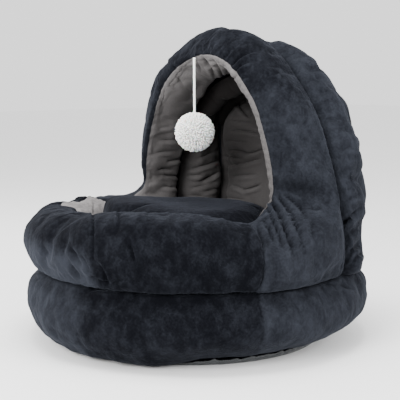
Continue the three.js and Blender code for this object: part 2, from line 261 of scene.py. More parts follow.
# Pompom
# A ball of more than a thousand cut yarn ends, bound in the middle and trimmed round. Each end is
# a short bent stub with a blunt tip, and its size and lean are a little uneven.
POMPOM_RADIUS = 29.5
POMPOM_CORE = 22
POMPOM_DROP = 23.3
POMPOM_CENTRE = STRING_TOP - Vector((0, 0, STRING_LENGTH + POMPOM_DROP))
END_SPACING = 1.45
END_DENSITY = 460000.0
END_SEED = 7
END_LEAN = 0.24
END_SMALLEST = 0.9
END_LARGEST = 1.1
END_LENGTH = 8.4
END_RADIUS = 1.15
END_BEND = 0.3
END_SIDES = 5
STRING_HOLE = 0.985
Ring = namedtuple("Ring", "height width bend")
END_RINGS = [
    Ring(0.0, 0.7, 0.0),
    Ring(0.4, 0.85, 0.04),
    Ring(0.75, 1.0, 0.12),
    Ring(0.93, 0.95, 0.2),
    Ring(1.0, 0.55, 0.24),
]


def yarn_end():
    """One cut end, standing on its root along +Z, as a hidden object to be repeated."""
    vertices = []
    for ring in END_RINGS:
        for j in range(END_SIDES):
            angle = 2 * math.pi * j / END_SIDES
            radius = END_RADIUS * ring.width
            vertices.append(Vector((
                radius * math.cos(angle) + END_LENGTH * END_BEND * ring.bend,
                radius * math.sin(angle),
                END_LENGTH * ring.height,
            )) * MM)
    end = new_piece("yarn_end", vertices, ring_faces(len(END_RINGS), END_SIDES))
    smooth_shaded(end)
    return end


def pompom_tree():
    """Yarn ends scattered over a ball, each turned outwards and a little off, then made real."""
    tree = bpy.data.node_groups.new("pompom_ends", "GeometryNodeTree")
    for name, kind in (
        ("Geometry", "Geometry"), ("End", "Object"), ("Yarn", "Material"), ("Seed", "Int"),
        ("Spacing", "Float"), ("Density", "Float"),
    ):
        tree.interface.new_socket(name, in_out="INPUT", socket_type="NodeSocket" + kind)
    tree.interface.new_socket("Geometry", in_out="OUTPUT", socket_type="NodeSocketGeometry")
    given = tree.nodes.new("NodeGroupInput").outputs
    scatter = tree.nodes.new("GeometryNodeDistributePointsOnFaces")
    scatter.distribute_method = "POISSON"
    connect(tree, scatter, links={
        "Mesh": given["Geometry"],
        "Seed": given["Seed"],
        "Distance Min": given["Spacing"],
        "Density Max": given["Density"],
    })
    source = add_node(tree, "GeometryNodeObjectInfo", links={"Object": given["End"]})
    place = add_node(tree, "GeometryNodeInstanceOnPoints", links={
        "Points": scatter.outputs["Points"],
        "Instance": source.outputs["Geometry"],
        "Rotation": scatter.outputs["Rotation"],
    })
    lean = tree.nodes.new("FunctionNodeRandomValue")
    lean.data_type = "FLOAT_VECTOR"
    connect(tree, lean, {
        "Min": (-END_LEAN, -END_LEAN, -math.pi),
        "Max": (END_LEAN, END_LEAN, math.pi),
    }, {"Seed": given["Seed"]})
    turned = add_node(tree, "GeometryNodeRotateInstances", links={
        "Instances": place.outputs["Instances"],
        "Rotation": lean.outputs["Value"],
    })
    limits = {2: END_SMALLEST, 3: END_LARGEST}
    size = add_node(tree, "FunctionNodeRandomValue", limits, {"Seed": given["Seed"]})
    scaled = add_node(tree, "GeometryNodeScaleInstances", links={
        "Instances": turned.outputs["Instances"],
        "Scale": size.outputs[1],
    })
    real = add_node(tree, "GeometryNodeRealizeInstances", links={
        "Geometry": scaled.outputs["Instances"],
    })
    finish = add_node(tree, "GeometryNodeSetMaterial", links={
        "Geometry": real.outputs["Geometry"],
        "Material": given["Yarn"],
    })
    add_node(tree, "NodeGroupOutput", links={"Geometry": finish.outputs["Geometry"]})
    return tree


def set_inputs(modifier, values):
    """Sets a node modifier's inputs by their sockets' identifiers."""
    for item in modifier.node_group.interface.items_tree:
        if item.in_out == "INPUT" and item.name in values:
            modifier[item.identifier] = values[item.name]


def apply_modifiers(piece):
    """Makes what the modifiers show the piece's own mesh, and removes them."""
    bpy.context.view_layer.update()
    shown = piece.evaluated_get(bpy.context.evaluated_depsgraph_get())
    mesh = bpy.data.meshes.new_from_object(shown)
    piece.modifiers.clear()
    piece.data = mesh


def formed(name, form):
    """A piece with the shape of an edited form, which is then let go."""
    mesh = bpy.data.meshes.new(name)
    form.to_mesh(mesh)
    form.free()
    return placed(name, mesh)


def ball(radius, rings, sides):
    """The form of a ball in the place of the pompom."""
    form = bmesh.new()
    bmesh.ops.create_uvsphere(form, u_segments=sides, v_segments=rings, radius=radius * MM)
    bmesh.ops.translate(form, verts=form.verts, vec=POMPOM_CENTRE * MM)
    return form


pompom_core = formed("pompom_core", ball(POMPOM_CORE, 24, 36))
smooth_shaded(pompom_core)
pompom_core.data.materials.append(yarn)

end_pattern = yarn_end()
crown = ball(POMPOM_RADIUS - END_LENGTH, 40, 64)
near_string = [
    face for face in crown.faces
    if (face.calc_center_median() / MM - POMPOM_CENTRE).normalized().z > STRING_HOLE
]
bmesh.ops.delete(crown, geom=near_string, context="FACES")
pompom_yarn = formed("pompom_yarn", crown)
repeat = pompom_yarn.modifiers.new("ends", "NODES")
repeat.node_group = pompom_tree()
set_inputs(repeat, {
    "End": end_pattern,
    "Yarn": yarn,
    "Seed": END_SEED,
    "Spacing": END_SPACING * MM,
    "Density": END_DENSITY,
})
apply_modifiers(pompom_yarn)
bpy.data.objects.remove(end_pattern)

for piece in (pompom_core, pompom_yarn, toy_string):
    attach(piece, "root")
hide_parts("pompom")
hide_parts("toy_cord")

# Base pad
# One thick round cushion of velour over fibre filling, sewn from side panels that meet in upright
# seams. The filling pushes its side out, and the rolls above press its top flat.
PAD_TOP = 104.7
PAD_UNDERSIDE = 2.7
PAD_FOOT = 0.9
SIDE_SEAMS = (20, 72.5, 160, -72.5, -160)
SAME_PLACE = 0.01
COPY_LEVELS = 2
SMOOTHING_ROUNDS = 3
LINED = 1
LINING_NEAR = 1.2
LINING_BACK = -0.7
TRIANGLE_ANGLE = 1.2
TRIANGLE_SHAPE = 2.6


def interpolated(piece):
    """Moves the corners of a coarse form outwards until its smooth surface meets them again."""
    drawn = spots(piece)
    smoother = piece.modifiers.new("smoother", "SUBSURF")
    smoother.levels = smoother.render_levels = COPY_LEVELS
    for _ in range(SMOOTHING_ROUNDS):
        bpy.context.view_layer.update()
        shown = piece.evaluated_get(bpy.context.evaluated_depsgraph_get()).to_mesh()
        flat = np.empty(3 * len(shown.vertices))
        shown.vertices.foreach_get("co", flat)
        reached = flat.reshape(-1, 3)[: len(drawn)] / MM
        put(piece, spots(piece) + drawn - reached)


def soft_copy(node, lining_node=None):
    """A smooth copy of a node's form. Its faces under the lining node get the second slot."""
    form = bmesh.new()
    form.from_mesh(bpy.data.objects[node].data)
    bmesh.ops.remove_doubles(form, verts=form.verts, dist=SAME_PLACE * MM)
    bmesh.ops.join_triangles(
        form, faces=form.faces,
        angle_face_threshold=TRIANGLE_ANGLE, angle_shape_threshold=TRIANGLE_SHAPE,
    )
    if lining_node:
        cover = bmesh.new()
        cover.from_mesh(bpy.data.objects[lining_node].data)
        near = BVHTree.FromBMesh(cover)
        for face in form.faces:
            place, normal, _, _ = near.find_nearest(face.calc_center_median(), LINING_NEAR * MM)
            covered = place is not None and normal.dot(face.normal) < LINING_BACK
            face.material_index = LINED if covered else 0
        cover.free()
    piece = formed(node + "_cover", form)
    interpolated(piece)
    apply_modifiers(piece)
    return piece


def spots(piece):
    """The piece's points in millimetres, one row each."""
    flat = np.empty(3 * len(piece.data.vertices))
    piece.data.vertices.foreach_get("co", flat)
    return flat.reshape(-1, 3) / MM


def put(piece, places):
    piece.data.vertices.foreach_set("co", (places * MM).ravel())
    piece.data.update()


def facing(piece):
    """The outward direction at each of the piece's points."""
    flat = np.empty(3 * len(piece.data.vertices))
    piece.data.vertices.foreach_get("normal", flat)
    return flat.reshape(-1, 3)


def ease(value, low, high):
    share = np.clip((value - low) / (high - low), 0, 1)
    return share * share * (3 - 2 * share)


FILL_STEPS = 20
FILL_QUALITY = 4
FILL_PRESSURE = 4.0
FILL_BENDING = 0.15


def fill(piece, loose, slack=6, growth=0.05, most=9):
    """Swells a piece as filling does. Its cloth is let in by slack, held where loose is 0, made
    larger by growth, and no point ends up further than most from where it was drawn."""
    drawn = spots(piece)
    put(piece, drawn - facing(piece) * (slack * loose)[:, None])
    held = piece.vertex_groups.new(name="held")
    for i, share in enumerate(loose):
        if share < 1:
            held.add([i], float(1 - share), "REPLACE")
    cloth = piece.modifiers.new("filling", "CLOTH")
    cloth.settings.quality = FILL_QUALITY
    cloth.settings.bending_stiffness = FILL_BENDING
    cloth.settings.use_pressure = True
    cloth.settings.uniform_pressure_force = FILL_PRESSURE
    cloth.settings.effector_weights.gravity = 0
    cloth.settings.shrink_min = -growth
    cloth.settings.vertex_group_mass = "held"
    for step in range(1, FILL_STEPS + 1):
        bpy.context.scene.frame_set(step)
    apply_modifiers(piece)
    bpy.context.scene.frame_set(1)
    moved = spots(piece) - drawn
    far = np.maximum(np.linalg.norm(moved, axis=1), 1e-6)
    put(piece, drawn + moved * (most * np.tanh(far / most) / far)[:, None])


def finer(piece):
    more = piece.modifiers.new("finer", "SUBSURF")
    more.levels = more.render_levels = 1
    apply_modifiers(piece)
    smooth_shaded(piece)


# A fold is pressed in from a place to a place in the picture, in its pixels. Depth is in
# millimetres, width and bow, its sideways bulge, in pixels. The fades are the shares of its length
# at which it starts, is full, starts to fade and is gone.
Fold = namedtuple("Fold", "x y to_x to_y depth width bow")
RIDGE_SHARE = 0.55
RIDGE_AWAY = 1.7
FADES = (-0.1, 0.35, 0.65, 1.1)
ROOTED_FADES = (-0.12, 0.08, 0.25, 1.05)


def in_picture(places):
    """Where points of the bed are seen, in pixels across and down."""
    off = places - np.array(eye)
    depth = -off @ np.array(back)
    across = PICTURE / 2 + FOCAL * (off @ np.array(right)) / depth
    down = PICTURE / 2 - FOCAL * (off @ np.array(up)) / depth
    return across, down


def toward_camera(places, outward):
    """How far each point's outward direction turns to the camera, from -1 to 1."""
    sight = np.array(eye) - places
    return (outward * sight).sum(axis=1) / np.linalg.norm(sight, axis=1)


def press_folds(piece, folds, rooted=False, turn=0, mirrored=False):
    """Presses folds into the side that faces the camera. With the bed turned or mirrored in mind
    they go into its other sides alone. A rooted fold is deepest at its start, at a seam."""
    places, outward = spots(piece), facing(piece)
    angle = math.radians(turn)
    shift = np.array([
        [math.cos(angle), -math.sin(angle), 0],
        [math.sin(angle), math.cos(angle), 0],
        [0, 0, 1],
    ])
    if mirrored:
        shift = shift @ np.diag([-1, 1, 1])
    seen, looks = places @ shift.T, outward @ shift.T
    shown = ease(toward_camera(seen, looks), -0.3, 0.0)
    if turn or mirrored:
        shown *= 1 - ease(toward_camera(places, outward), -0.25, 0.1)
    x, y = in_picture(seen)
    lift = np.zeros(len(places))
    fades = ROOTED_FADES if rooted else FADES
    for fold in folds:
        run = np.array([fold.to_x - fold.x, fold.to_y - fold.y])
        length = np.linalg.norm(run)
        run = run / length
        share = ((x - fold.x) * run[0] + (y - fold.y) * run[1]) / length
        inside = np.clip(share, 0, 1)
        side = (y - fold.y) * run[0] - (x - fold.x) * run[1] - fold.bow * 4 * inside * (1 - inside)
        strength = ease(share, *fades[:2]) * (1 - ease(share, *fades[2:]))
        valley = np.exp(-((side / fold.width) ** 2))
        ridge = np.exp(-(((side - RIDGE_AWAY * fold.width) / fold.width) ** 2))
        lift += fold.depth * strength * (RIDGE_SHARE * ridge - valley)
    put(piece, places + outward * (lift * shown)[:, None])


# A swell pushes the form out, or in where it is negative, round a place in the picture. Its
# reach is in pixels.
Swell = namedtuple("Swell", "x y reach millimetres")


def round_spot(places, spot):
    """1 at a spot in the picture, fading to 0 past its reach."""
    x, y = in_picture(places)
    return np.exp(-((x - spot.x) ** 2 + (y - spot.y) ** 2) / spot.reach ** 2)


def swell(piece, table):
    places, outward = spots(piece), facing(piece)
    push = sum(spot.millimetres * round_spot(places, spot) for spot in table)
    put(piece, places + outward * push[:, None])


# A pull moves what is seen round a place in the picture so many millimetres right and down in it.
Pull = namedtuple("Pull", "x y reach across down")


def pull(piece, table):
    places = spots(piece)
    moved = np.zeros_like(places)
    for spot in table:
        along = spot.across * np.array(right) - spot.down * np.array(up)
        moved += round_spot(places, spot)[:, None] * along
    put(piece, places + moved)


def sector(places, middle, half, soft=25):
    """1 in a sector round the bed, in degrees, and 0 outside it."""
    off = np.abs((round_the_bed(places) - middle + 180) % 360 - 180)
    return 1 - ease(off, half, half + soft)


def uneven(piece, size, depth, seed):
    """Lumps of filling under the cloth, of that size and depth. Each seed gives other lumps."""
    places, outward = spots(piece), facing(piece)
    offset = Vector((seed * 17.3, seed * 5.1, seed * 9.7))
    lumps = np.array([noise.noise(Vector(p) / size + offset) for p in places])
    put(piece, places + outward * (lumps * depth)[:, None])


def nearest_on(line_points, places):
    """Distance from each place to the nearest point of a line of points, and that point."""
    tree = kdtree.KDTree(len(line_points))
    for i, point in enumerate(line_points):
        tree.insert(point, i)
    tree.balance()
    found = [tree.find(place) for place in places]
    return np.array([hit[2] for hit in found]), np.array([line_points[hit[1]] for hit in found])


def pucker(piece, line_points, pitch, reach, depth, seed):
    """Small gathers that run away from a sewn line, and the line itself drawn in a little."""
    places, outward = spots(piece), facing(piece)
    away, root = nearest_on(line_points, places)
    offset = Vector((seed * 3.7, seed * 8.9, seed * 1.3))
    start = root + 0.12 * (places - root)
    gathers = np.array([noise.noise(Vector(p) / pitch + offset) for p in start])
    rise = depth * (0.6 - 2.2 * np.abs(gathers)) * np.exp(-away / reach) * ease(away, 0, 0.4 * reach)
    put(piece, places + outward * rise[:, None])


def groove(piece, away, depth, half_width):
    places, outward = spots(piece), facing(piece)
    put(piece, places - outward * (depth * np.exp(-((away / half_width) ** 2)))[:, None])


def round_the_bed(places):
    """Degrees round the upright axis, from the front towards the right."""
    return np.degrees(np.arctan2(places[:, 0], -places[:, 1]))


# The velour's colour runs from dark to lit with its brushed patches and with each piece's painted
# tone, which holds painted light and shade.
VELOUR_DARK = (0.0023, 0.0025, 0.0036)
VELOUR_LIT = (0.0205, 0.0228, 0.0290)


def ramp(tree, source, low, high):
    limits = tree.nodes.new("ShaderNodeMapRange")
    limits.interpolation_type = "SMOOTHSTEP"
    connect(tree, limits, {"From Min": low, "From Max": high}, {"Value": source})
    return limits.outputs["Result"]


def blend(tree, first, second, share):
    """The first value, with that share of the second."""
    mix = add_node(tree, "ShaderNodeMix", {"Factor": share}, {"A": first, "B": second})
    return mix.outputs["Result"]


def nap_and_shade_of(tree):
    """The tone painted on a piece's points, with its painted light and shade, by the function below.
    """
    nap = tree.nodes.new("ShaderNodeAttribute")
    nap.attribute_name = "nap"
    return nap.outputs["Fac"]


def velour_material(name):
    """Short dark pile: brushed patches that catch the light, a fibrous surface, a soft sheen, and the
    painted light and shade of each piece's tone.
    """
    material = new_material(name, {
        "Roughness": 0.9,
        "Specular IOR Level": 0.02,
        "Sheen Weight": 0.05,
        "Sheen Roughness": 0.35,
        "Sheen Tint": (0.62, 0.68, 0.85, 1),
    })
    tree = material.node_tree
    patches = ramp(tree, clouds(tree, 34, 5, 0.3), 0.34, 0.68)
    strokes = ramp(tree, clouds(tree, 88, 5, 0.7, (1, 1, 0.62)), 0.34, 0.68)
    tufts = ramp(tree, clouds(tree, 330, 3, 0.3), 0.34, 0.68)
    fibres = clouds(tree, 900, 2)
    brushed = blend(tree, blend(tree, patches, strokes, 0.5), tufts, 0.27)
    toned = ramp(tree, blend(tree, brushed, nap_and_shade_of(tree), 0.6), 0.05, 0.93)
    give_colour(material, toned, VELOUR_DARK, VELOUR_LIT)
    give_relief(material, blend(tree, blend(tree, fibres, tufts, 0.4), strokes, 0.4), 0.6, 1.6)
    return material


# How strongly creases get painted shade and ridges a painted highlight, and how far each may go.
CREASE_ROUNDS = 5
PAINTED_CREASE_SHADE = 0.12
RIDGE_HIGHLIGHT_LIMIT = -1.3
CREASE_SHADE_LIMIT = 3
DARKEST_NAP_AND_SHADE = -0.3


def creases(piece):
    """How far, in millimetres, each point lies under the smoothed cloth round it."""
    ends = np.empty(2 * len(piece.data.edges), dtype=int)
    piece.data.edges.foreach_get("vertices", ends)
    here = np.concatenate([ends[0::2], ends[1::2]])
    there = np.concatenate([ends[1::2], ends[0::2]])
    drawn = spots(piece)
    count = np.maximum(np.bincount(here, minlength=len(drawn)), 1)
    smoothed = drawn
    for _ in range(CREASE_ROUNDS):
        around = [np.bincount(here, weights=axis[there], minlength=len(drawn)) for axis in smoothed.T]
        smoothed = (smoothed + np.column_stack(around) / count[:, None]) / 2
    return ((smoothed - drawn) * facing(piece)).sum(axis=1)


def paint_nap_and_shade(piece, tone, crease_shade=PAINTED_CREASE_SHADE):
    """Paints each point's tone, from 0, away from the light, to 1, in it. The tone given holds the
    pile's lie and painted light and shade; creases get painted shade and ridges a painted highlight.
    """
    layer = piece.data.attributes.new("nap", "FLOAT", "POINT")
    # Painted shade in creases, painted highlight on ridges.
    crease_shade = crease_shade * np.clip(creases(piece), RIDGE_HIGHLIGHT_LIMIT, CREASE_SHADE_LIMIT)
    shaded_tone = np.clip(tone - crease_shade, DARKEST_NAP_AND_SHADE, 1)
    layer.data.foreach_set("value", shaded_tone.astype(np.float32))


PAD_FOLDS = [
    Fold(110, 285, 92, 284, 3.0, 2.2, -1),
    Fold(108, 286, 82, 293, 2.6, 2.0, 1),
    Fold(60, 272, 76, 276, 2.0, 2.0, 0),
    Fold(139, 290, 132, 300, 1.6, 2.4, 0),
    Fold(213, 296, 190, 300, 1.4, 2.0, 0),
    Fold(52, 327, 70, 341, 1.8, 2.6, 1),
    Fold(96, 296, 104, 330, 0.7, 4.0, 2),
    Fold(152, 300, 158, 350, 0.7, 4.5, -2),
    Fold(240, 300, 238, 345, 0.6, 4.0, 0),
    Fold(44, 300, 62, 338, 0.8, 4.0, 3),
    Fold(290, 292, 306, 318, 0.8, 4.0, 2),
    Fold(322, 282, 340, 286, 1.6, 2.2, 0),
    Fold(338, 283, 354, 288, 3.2, 2.4, 1),
]
PAD_TURNS = (118, 205, 290)
PAD_SWELLS = [
    Swell(359, 276, 12, 7),
    Swell(37, 283, 9, 5),
    Swell(30, 310, 14, -3),
    Swell(52, 326, 16, 2),
]
PAD_REACH = 219
FOOT_REACH = 190
FOOT_HEIGHT = 48
FOOT_IN = 26
FOOT_DROP = 2.0
FOOT_LIFT = 3.6
CLOTH_SIDE = 98
CLOTH_HALF = 38
SEAM_DEPTH = 1.2
SEAM_HALF = 2.2
PANEL_START = (6, 21)
PANEL_END = (72.2, 72.8)

velour = velour_material("velour")


def rest_on(piece, height, front=-math.inf, rear=math.inf):
    """Keeps a piece off what it stands on, and between the seams in front of it and behind it."""
    places = spots(piece)
    places[:, 1] = np.clip(places[:, 1], front, rear)
    places[:, 2] = np.maximum(places[:, 2], height)
    put(piece, places)
    return places


def declare_padded(piece, node):
    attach(piece, "root")
    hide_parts(node)


def draw_in_foot(places):
    """Curves the pad's side in under it, most on the right, where the floor cloth shows."""
    low = 1 - ease(places[:, 2], 0, FOOT_HEIGHT)
    reach = np.hypot(places[:, 0], places[:, 1])
    foot = ease(reach, FOOT_REACH - 8, FOOT_REACH + 6)
    inward = low * foot * (FOOT_IN * sector(places, 100, 45) - sector(places, -75, 45))
    shown = sector(places, CLOTH_SIDE, CLOTH_HALF, 22)
    drop = FOOT_DROP * foot * (1 - shown) * np.exp(-places[:, 2] / 9)
    lift = FOOT_LIFT * foot * shown * np.exp(-((places[:, 2] - 3) / 11) ** 2)
    moved = places.copy()
    moved[:, :2] *= (1 - inward / np.maximum(reach, 1))[:, None]
    moved[:, 2] += lift - drop
    return moved


base_pad = soft_copy("base_pad")
places = spots(base_pad)
fill(
    base_pad,
    ease(places[:, 2], 5, 30) * ease(PAD_TOP - places[:, 2], 1, 16),
    slack=2, growth=0.03, most=5,
)
finer(base_pad)
put(base_pad, draw_in_foot(spots(base_pad)))
swell(base_pad, PAD_SWELLS)
uneven(base_pad, size=62, depth=2.2, seed=1)
for turn in (0, *PAD_TURNS):
    press_folds(base_pad, PAD_FOLDS, turn=turn)
places = spots(base_pad)
reach = np.hypot(places[:, 0], places[:, 1])
top_edge = places[(places[:, 2] > PAD_TOP - 1.2) & (np.abs(reach - PAD_REACH) < 3)]
pucker(base_pad, top_edge, pitch=13, reach=12, depth=1.0, seed=2)
round_it = round_the_bed(spots(base_pad))
for seam in SIDE_SEAMS:
    groove(base_pad, np.radians(round_it - seam) * reach, SEAM_DEPTH, SEAM_HALF)
places = spots(base_pad)
underside = np.where(reach < FOOT_REACH - 8, PAD_UNDERSIDE, PAD_FOOT)
places[:, 2] = np.clip(places[:, 2], underside, PAD_TOP)
put(base_pad, places)
base_pad.data.materials.append(velour)
# The front panel's pile lies darker; the left side gets painted light, and the top under the rolls
# painted shade.
panel = ease(round_it, *PANEL_START) * (1 - ease(round_it, *PANEL_END))
on_left = sector(places, -45, 40) * (1 - panel)
painted_shade_under_rolls = ease(places[:, 2], 80, 104)
paint_nap_and_shade(base_pad, 0.52 - 0.42 * panel + 0.16 * on_left - 0.2 * painted_shade_under_rolls)
declare_padded(base_pad, "base_pad")

# Front bolster
# A filled roll round the front, its outside of velour in three panels. Its cloth is gathered at
# the seams above and below, and pinched where the second panel starts.
ROLL_FOOT = 105
ROLL_FREE = 124
BOLSTER_END = 72
BOLSTER_FOLDS = [
    Fold(69, 246, 84, 269, 6.4, 2.0, 1),
    Fold(69, 264, 80, 279, 5.2, 1.8, 0),
    Fold(80, 254, 91, 274, 5.0, 1.8, 1),
    Fold(40, 245, 49, 256, 3.6, 2.4, 0),
    Fold(127, 242, 134, 265, 4.4, 2.0, -1),
    Fold(144, 248, 143, 274, 1.0, 2.6, 1),
    Fold(164, 221, 158, 247, 1.0, 2.6, -1),
    Fold(204, 240, 198, 276, 0.8, 3.0, 2),
    Fold(232, 232, 238, 268, 0.8, 3.0, -2),
]
BOLSTER_ROOTED = [
    Fold(118, 212, 113, 238, 2.4, 1.8, -3),
    Fold(93, 206, 92, 300, 2.4, 1.4, 0),
    Fold(108, 284, 94, 258, 5.0, 1.9, 1),
    Fold(106, 284, 84, 274, 5.0, 1.7, 0),
    Fold(112, 284, 128, 276, 2.4, 2.0, 0),
    Fold(147, 209, 150, 226, 1.0, 2.0, 0),
    Fold(172, 209, 168, 222, 1.0, 2.0, 0),
    Fold(226, 216, 228, 230, 1.2, 2.0, 0),
    Fold(253, 225, 245, 238, 1.6, 1.9, 0),
    Fold(76, 210, 72, 222, 0.8, 2.0, 0),
    Fold(48, 214, 38, 232, 1.6, 2.0, 1),
]
BOLSTER_SWELLS = [
    Swell(76, 194, 16, -7),
    Swell(102, 190, 14, -7),
    Swell(28, 228, 22, -3),
]


def seam_points(piece):
    """The points where a piece's lined and bare faces meet."""
    index = np.empty(len(piece.data.polygons), dtype=int)
    piece.data.polygons.foreach_get("material_index", index)
    sides = np.zeros((len(piece.data.vertices), 2), dtype=bool)
    for face, slot in zip(piece.data.polygons, index):
        sides[list(face.vertices), slot] = True
    return spots(piece)[sides[:, 0] & sides[:, 1]]


def shift_edge(roll, reach, edge):
    """Moves the sewn edge of the lining over the roll, outwards where reach is positive."""
    count = len(roll.data.polygons)
    centres, index = np.empty(3 * count), np.empty(count, dtype=int)
    roll.data.polygons.foreach_get("center", centres)
    roll.data.polygons.foreach_get("material_index", index)
    away, root = nearest_on(edge, centres.reshape(-1, 3) / MM)
    inside = np.where(index == LINED, away, -away)
    roll.data.polygons.foreach_set("material_index", (inside > -reach(root)).astype(int))
    roll.data.update()


def smooth_rim(form, rounds):
    """Takes the steps out of the open edge of a sheet."""
    rim = [vert for vert in form.verts if vert.is_boundary]
    beside = [[edge.other_vert(vert) for edge in vert.link_edges if edge.is_boundary] for vert in rim]
    for _ in range(rounds):
        moved = [
            (vert.co + sum((other.co for other in near), Vector()) / len(near)) / 2
            for vert, near in zip(rim, beside)
        ]
        for vert, spot in zip(rim, moved):
            vert.co = spot


RIM_ROUNDS = 6
LINING_THICKNESS = 2.0
LINING_OFF = 0.2
LINING_FEATHER = 5
LINING_EDGE_SHARE = 0.25


def cut_lining(roll, name):
    """A sheet of lining over the lined faces of a roll: thick inside, thin at its sewn edge."""
    edge = seam_points(roll)
    form = bmesh.new()
    form.from_mesh(roll.data)
    bare = [face for face in form.faces if face.material_index != LINED]
    bmesh.ops.delete(form, geom=bare, context="FACES")
    for face in form.faces:
        face.material_index = 0
    smooth_rim(form, RIM_ROUNDS)
    piece = formed(name, form)
    put(piece, spots(piece) + facing(piece) * LINING_OFF)
    away, _ = nearest_on(edge, spots(piece))
    full = piece.vertex_groups.new(name="full")
    for i, share in enumerate(ease(away, 0, LINING_FEATHER)):
        full.add([i], float(share), "REPLACE")
    wall = piece.modifiers.new("thickness", "SOLIDIFY")
    wall.thickness = LINING_THICKNESS * MM
    wall.offset = 1
    wall.vertex_group = "full"
    wall.thickness_vertex_group = LINING_EDGE_SHARE
    apply_modifiers(piece)
    smooth_shaded(piece)
    piece.data.materials.clear()
    piece.data.materials.append(lining)
    return piece


# The lining's colour runs from dark to lit with its speckled pile and each piece's painted tone,
# which holds painted light and shade.
LINING_DARK = (0.0100, 0.0088, 0.0086)
LINING_LIT = (0.190, 0.180, 0.180)
LINING_CREASE_SHADE = 0.2


def lining_material(name):
    """Grey brushed cloth with a short, slightly speckled pile, toned by each piece's painted light
    and shade.
    """
    material = new_material(name, {
        "Roughness": 0.9,
        "Specular IOR Level": 0.1,
        "Sheen Weight": 0.06,
        "Sheen Roughness": 0.45,
        "Sheen Tint": (0.8, 0.78, 0.78, 1),
    })
    tree = material.node_tree
    speckle = clouds(tree, 560, 2)
    both = blend(tree, clouds(tree, 26, 4, 0.7), speckle, 0.45)
    pile = add_node(tree, "ShaderNodeMapRange", {"To Min": 0.45, "To Max": 1.55}, {"Value": both})
    toned = tree.nodes.new("ShaderNodeMath")
    toned.operation = "MULTIPLY"
    connect(tree, toned, links={0: pile.outputs["Result"], 1: nap_and_shade_of(tree)})
    give_colour(material, toned.outputs["Value"], LINING_DARK, LINING_LIT)
    give_relief(material, speckle, 0.5, 0.8)
    return material


lining = lining_material("lining")


def paint_lining(piece, tone):
    """The lining's painted tone, as the velour's, with painted shade in its creases in proportion to
    its tone.
    """
    paint_nap_and_shade(piece, tone, LINING_CREASE_SHADE * tone)


def declare_roll(roll, node):
    """A roll has two slots of velour, for its lined and its bare faces."""
    roll.data.materials.clear()
    roll.data.materials.append(velour)
    roll.data.materials.append(velour)
    declare_padded(roll, node)


def declare_lining(piece, node):
    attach(piece, "root")
    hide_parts(node)


def off_pad(places):
    """0 where a roll stands on the pad, 1 where its cloth is free of it."""
    return ease(places[:, 2], ROLL_FOOT + 1, ROLL_FREE)


def rim_reach(root):
    """The lining of the bolster ends short of the rim, but turns well over it on the far left."""
    return -12 + 27 * sector(root, -64, 24, 14)


def off_lining(piece, places):
    """How freely the cloth fills out, held back near the lining's seam."""
    seam_away, _ = nearest_on(seam_points(piece), places)
    return 0.35 + 0.65 * ease(seam_away, 0, 16)


bolster = soft_copy("front_bolster", "bolster_lining")
places = spots(bolster)
end_gap = BOLSTER_END - np.abs(round_the_bed(places))
fill(
    bolster,
    off_pad(places) * ease(end_gap, 0.2, 5) * off_lining(bolster, places),
    slack=3, growth=0.045, most=5,
)
finer(bolster)
swell(bolster, BOLSTER_SWELLS)
uneven(bolster, size=58, depth=2.0, seed=3)
press_folds(bolster, BOLSTER_FOLDS)
press_folds(bolster, BOLSTER_ROOTED, rooted=True)
press_folds(bolster, BOLSTER_FOLDS, mirrored=True)
edge = seam_points(bolster)
edge = edge[(edge[:, 2] > 170) & (np.abs(round_the_bed(edge)) < BOLSTER_END - 1)]
shift_edge(bolster, rim_reach, edge)
pucker(bolster, seam_points(bolster), pitch=12, reach=10, depth=1.2, seed=4)
far_left = edge[sector(edge, -66, 30, 5) > 0.5]
pucker(bolster, far_left, pitch=5, reach=24, depth=3.2, seed=13)
places = spots(bolster)
reach = np.hypot(places[:, 0], places[:, 1])
lower_edge = places[(places[:, 2] < ROLL_FOOT + 0.5) & (reach > 200)]
pucker(bolster, lower_edge, pitch=17, reach=13, depth=1.8, seed=5)
places = rest_on(bolster, ROLL_FOOT)
round_it = round_the_bed(places)
bolster_lining = cut_lining(bolster, "bolster_lining_sheet")
paint_lining(bolster_lining, np.full(len(bolster_lining.data.vertices), 0.70))
# Lighter low on the left; a painted highlight along the top of the rim on the right.
low_left = (1 - ease(round_it, 15, 21)) * (1 - ease(places[:, 2], 134, 172))
rim_highlight = ease(places[:, 2], 188, 199) * ease(round_it, 15, 25)
paint_nap_and_shade(bolster, 0.04 + low_left + 0.16 * rim_highlight)
declare_roll(bolster, "front_bolster")
declare_lining(bolster_lining, "bolster_lining")

# Front arch
# The filled roll that frames the opening. It is gathered at the crown and at the corners of the
# opening, where its feet run forward to the bolster, and its grey lining ends in a soft lip.
ARCH_SEAM = 94
WALL_SEAM = 166
SEWN_GAP = 0.15
ARCH_MIDDLE = 160
FRONT_ARCH_ROOTED = [
    Fold(272, 203, 297, 268, 8.5, 2.0, -3),
    Fold(280, 199, 306, 268, 6.5, 2.0, -6),
    Fold(285, 195, 312, 230, 4.2, 1.9, -4),
    Fold(268, 210, 284, 256, 6.0, 1.7, -2),
    Fold(263, 218, 276, 250, 4.4, 1.6, -1),
    Fold(258, 228, 266, 262, 3.4, 1.6, 0),
    Fold(276, 206, 288, 228, 3.4, 1.5, -1),
    Fold(286, 190, 310, 196, 2.0, 1.8, 1),
    Fold(201, 54, 200, 42, 2.0, 1.5, 1),
    Fold(209, 54, 207, 45, 1.8, 1.5, 0),
    Fold(193, 56, 196, 46, 1.6, 1.5, -1),
    Fold(225, 57, 231, 47, 3.4, 1.7, 1),
    Fold(233, 64, 264, 51, 5.0, 2.0, -5),
    Fold(236, 69, 262, 62, 4.0, 1.8, -4),
    Fold(177, 70, 171, 64, 2.4, 1.8, 0),
    Fold(242, 78, 258, 80, 1.4, 2.0, -2),
]
